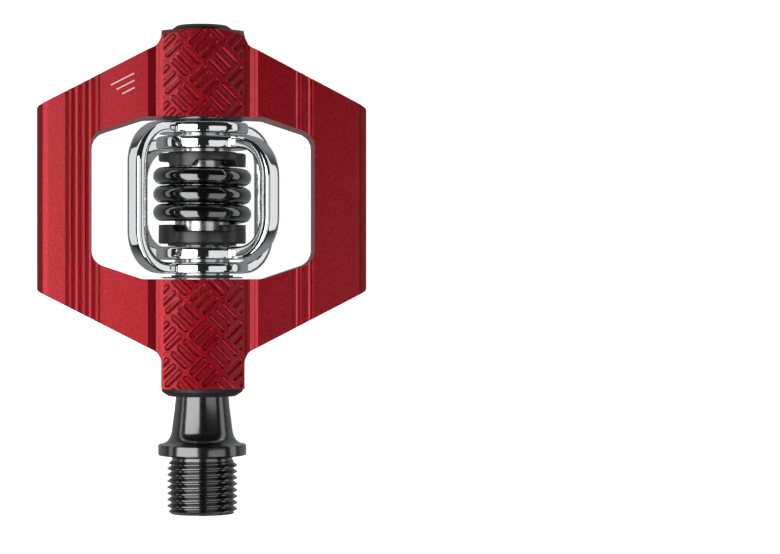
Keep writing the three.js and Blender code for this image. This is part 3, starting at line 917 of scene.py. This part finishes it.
# Each lug: the two angles that it spans, from straight up, then where its tip ends and its taper.
inboard_lugs = ((-120, -48, 47.0, 12), (39, 104, 47.0, 0), (131, 152, 49.2, 0))
outboard_lugs = ((-48, -16, 58.9, 10), (50, 104, 58.9, 4), (-152, -131, 57.0, 0))
inboard_seat = spring_seat(
    "inboard_spring_seat_finish", low_y=43.2, high_y=45.7, boss=(42.75, 44), lugs=inboard_lugs,
)
dress(inboard_seat, plastic, "black_plastic", "pedal", "inboard_spring_seat")
outboard_seat = spring_seat(
    "outboard_spring_seat_finish", low_y=60.0, high_y=61.55, boss=(61, 61.85), lugs=outboard_lugs,
)
dress(outboard_seat, plastic, "black_plastic", "pedal", "outboard_spring_seat")

WASHER_PLATE, WASHER_BOSS_R, WASHER_EDGE = 0.3, 6.3, 0.06
for node, towards_wing in (("inboard_wing_washer", 1), ("outboard_wing_washer", -1)):
    lowest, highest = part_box(node)
    body_y, wing_y = (lowest.y / MM, highest.y / MM)[::towards_wing]
    plate_y, rim = body_y + WASHER_PLATE * towards_wing, highest.x / MM
    washer = turned(node + "_finish", [
        (SEAT_BORE, body_y), (rim - WASHER_EDGE, body_y),
        (rim, body_y + WASHER_EDGE * towards_wing), (rim, plate_y),
        (WASHER_BOSS_R, plate_y), (WASHER_BOSS_R, wing_y), (SEAT_BORE, wing_y),
    ], closed=True)
    dress(smooth(washer, 30), plastic, "black_plastic", "pedal", node)


# ---------------------------------------------------------------- core sleeve
# A ground steel tube through the cage, pressed into both barrels. The wings' hub rings turn on it
# and the spindle runs free inside it.
SLEEVE_INNER_R = 4.4


def ground_steel():
    """Bright steel with fine grinding marks round it."""
    round_the_axis = (0.08, 1, 0.08)
    steel = Surface("ground_steel", (0.60, 0.61, 0.62), roughness=0.25, metallic=1.0)
    marks = steel.noise(0.25, detail=3.0, roughness=0.6, stretch=round_the_axis)
    steel.feed("Roughness", marks * 0.2 + 0.14)
    steel.bump(marks, strength=0.25, depth=0.01)
    return steel


steel = ground_steel()
lowest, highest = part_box("core_sleeve")
sleeve = ring("core_sleeve_finish", SLEEVE_INNER_R, highest.x / MM, lowest.y / MM, highest.y / MM, 0.25)
dress(smooth(sleeve, 30), steel, "ground_steel", "pedal", "core_sleeve")


# ---------------------------------------------------------------- seal and end cap
# A moulded rubber seal closes the inboard barrel, and a screwed plug with a hex socket closes the
# outboard one over the nut.
def moulded_rubber():
    """Matt black rubber with a faint bloom."""
    rubber = Surface("moulded_rubber", (0.006, 0.006, 0.006), roughness=0.6, metallic=0.0)
    bloom = rubber.noise(0.4, detail=3.0)
    rubber.feed("Roughness", bloom * 0.2 + 0.42)
    rubber.bump(bloom, strength=0.2, depth=0.02)
    return rubber


rubber = moulded_rubber()
seal = turned("inner_seal_finish", [
    (5.52, 12.1), (6.75, 12.1), (7.0, 12.18), (7.2, 12.32), (8.12, 12.95), (8.27, 13.1),
    (8.3, 13.25), (8.3, 13.7), (6.65, 13.7), (6.65, 15.6), (5.52, 15.6),
], closed=True)
dress(smooth(seal, 30), rubber, "black_rubber", "pedal", "inner_seal")

CAP_KEY_ACROSS, CAP_KEY_FLOOR = 5.0, 86.4
cap = turned("end_cap_finish", [
    (0, 84.75), (5.0, 84.75), (5.0, 82.1), (6.3, 82.1), (6.45, 82.3), (6.45, 85.05), (5.55, 85.05),
    (5.55, 86.05), (6.1, 86.05), (6.1, 86.85), (6.02, 87.05), (5.25, 87.62), (5.05, 87.7), (0, 87.7),
])
cap_key = prism("cap_key", hexagon(CAP_KEY_ACROSS), CAP_KEY_FLOOR, 90, along_y)
combine(cap, cap_key, "DIFFERENCE")
dress(smooth(cap, 30), plastic, "black_plastic", "pedal", "end_cap")


# ---------------------------------------------------------------- inside pieces
# The bearing, bush, nut and O-ring sit hidden in the barrels and keep their own turned shapes.
# Each only gets its finish: lapped or ground steel, nylon, bush plastic or rubber.
bearing_steel = Surface("lapped_steel", (0.66, 0.67, 0.68), roughness=0.12, metallic=1.0)
bearing_steel.feed("Roughness", bearing_steel.noise(0.4) * 0.1 + 0.08)
bush_plastic = Surface("bush_plastic", (0.12, 0.12, 0.10), roughness=0.5, metallic=0.0)
bush_plastic.feed("Roughness", bush_plastic.noise(0.3) * 0.2 + 0.45)
nylon = Surface("nylon", (0.40, 0.32, 0.15), roughness=0.5, metallic=0.0)
nylon.feed("Roughness", nylon.noise(0.3) * 0.2 + 0.4)
inside = {
    "bearing_outer_race": bearing_steel, "bearing_inner_race": bearing_steel, "bearing_ball_cage": nylon,
    "bearing_shield_inboard": steel, "bearing_shield_outboard": steel, "lock_nut": steel,
    "inner_bush": bush_plastic, "end_cap_o_ring": rubber,
}
inside.update({f"bearing_ball_{i}": bearing_steel for i in range(1, 8)})
for node, surface in inside.items():
    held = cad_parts[node]
    held.data.materials.clear()
    held.data.materials.append(surface.material)
